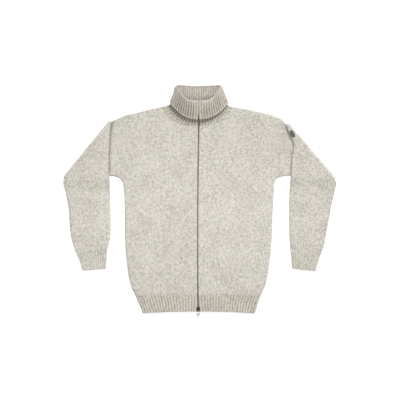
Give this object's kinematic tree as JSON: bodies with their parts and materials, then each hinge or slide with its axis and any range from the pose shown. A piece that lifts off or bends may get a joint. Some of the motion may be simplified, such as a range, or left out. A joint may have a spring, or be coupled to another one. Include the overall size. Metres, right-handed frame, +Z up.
{
  "type": "zip cardigan with roll collar, laid flat",
  "caption": "Chunky marled wool cardigan with a full-length zip, turned-down ribbed collar, ribbed hem and cuffs, laid flat with its sleeves folded over.",
  "frame": {"origin": "centre of the garment's footprint, on the surface it lies on", "axes": "+X towards the wearer's left sleeve, +Y from the hem towards the collar, +Z up, out of the front of the garment"},
  "size_m": [0.9534, 0.8086, 0.0417],
  "materials": {
    "body_knit": "marled oatmeal wool, plain knit",
    "rib_knit": "marled oatmeal wool, rib knit",
    "zip_tape": "woven tape",
    "zip_metal": "dark oxidised metal",
    "pull_metal": "satin pale metal",
    "patch": "plain dark woven patch"
  },
  "bodies": {
    "garment": {"back": "body_knit", "front_left": "body_knit", "front_right": "body_knit", "sleeve_left": "body_knit", "sleeve_right": "body_knit", "hem_back": "rib_knit", "hem_front_left": "rib_knit", "hem_front_right": "rib_knit", "cuff_left": "rib_knit", "cuff_right": "rib_knit", "collar": "rib_knit", "zip_tape_left": "zip_tape", "zip_tape_right": "zip_tape", "zip_chain": "zip_metal", "zip_slider": "zip_metal", "sleeve_patch": "patch"},
    "pull": {"zip_pull": "pull_metal"}
  },
  "joints": [
    {"name": "pull_hinge", "type": "hinge", "parent": "garment", "child": "pull", "pos_m": [-0.00596, -0.38254, 0.0115], "axis": [-1, 0, 0], "range_deg": [0, 180]}
  ]
}
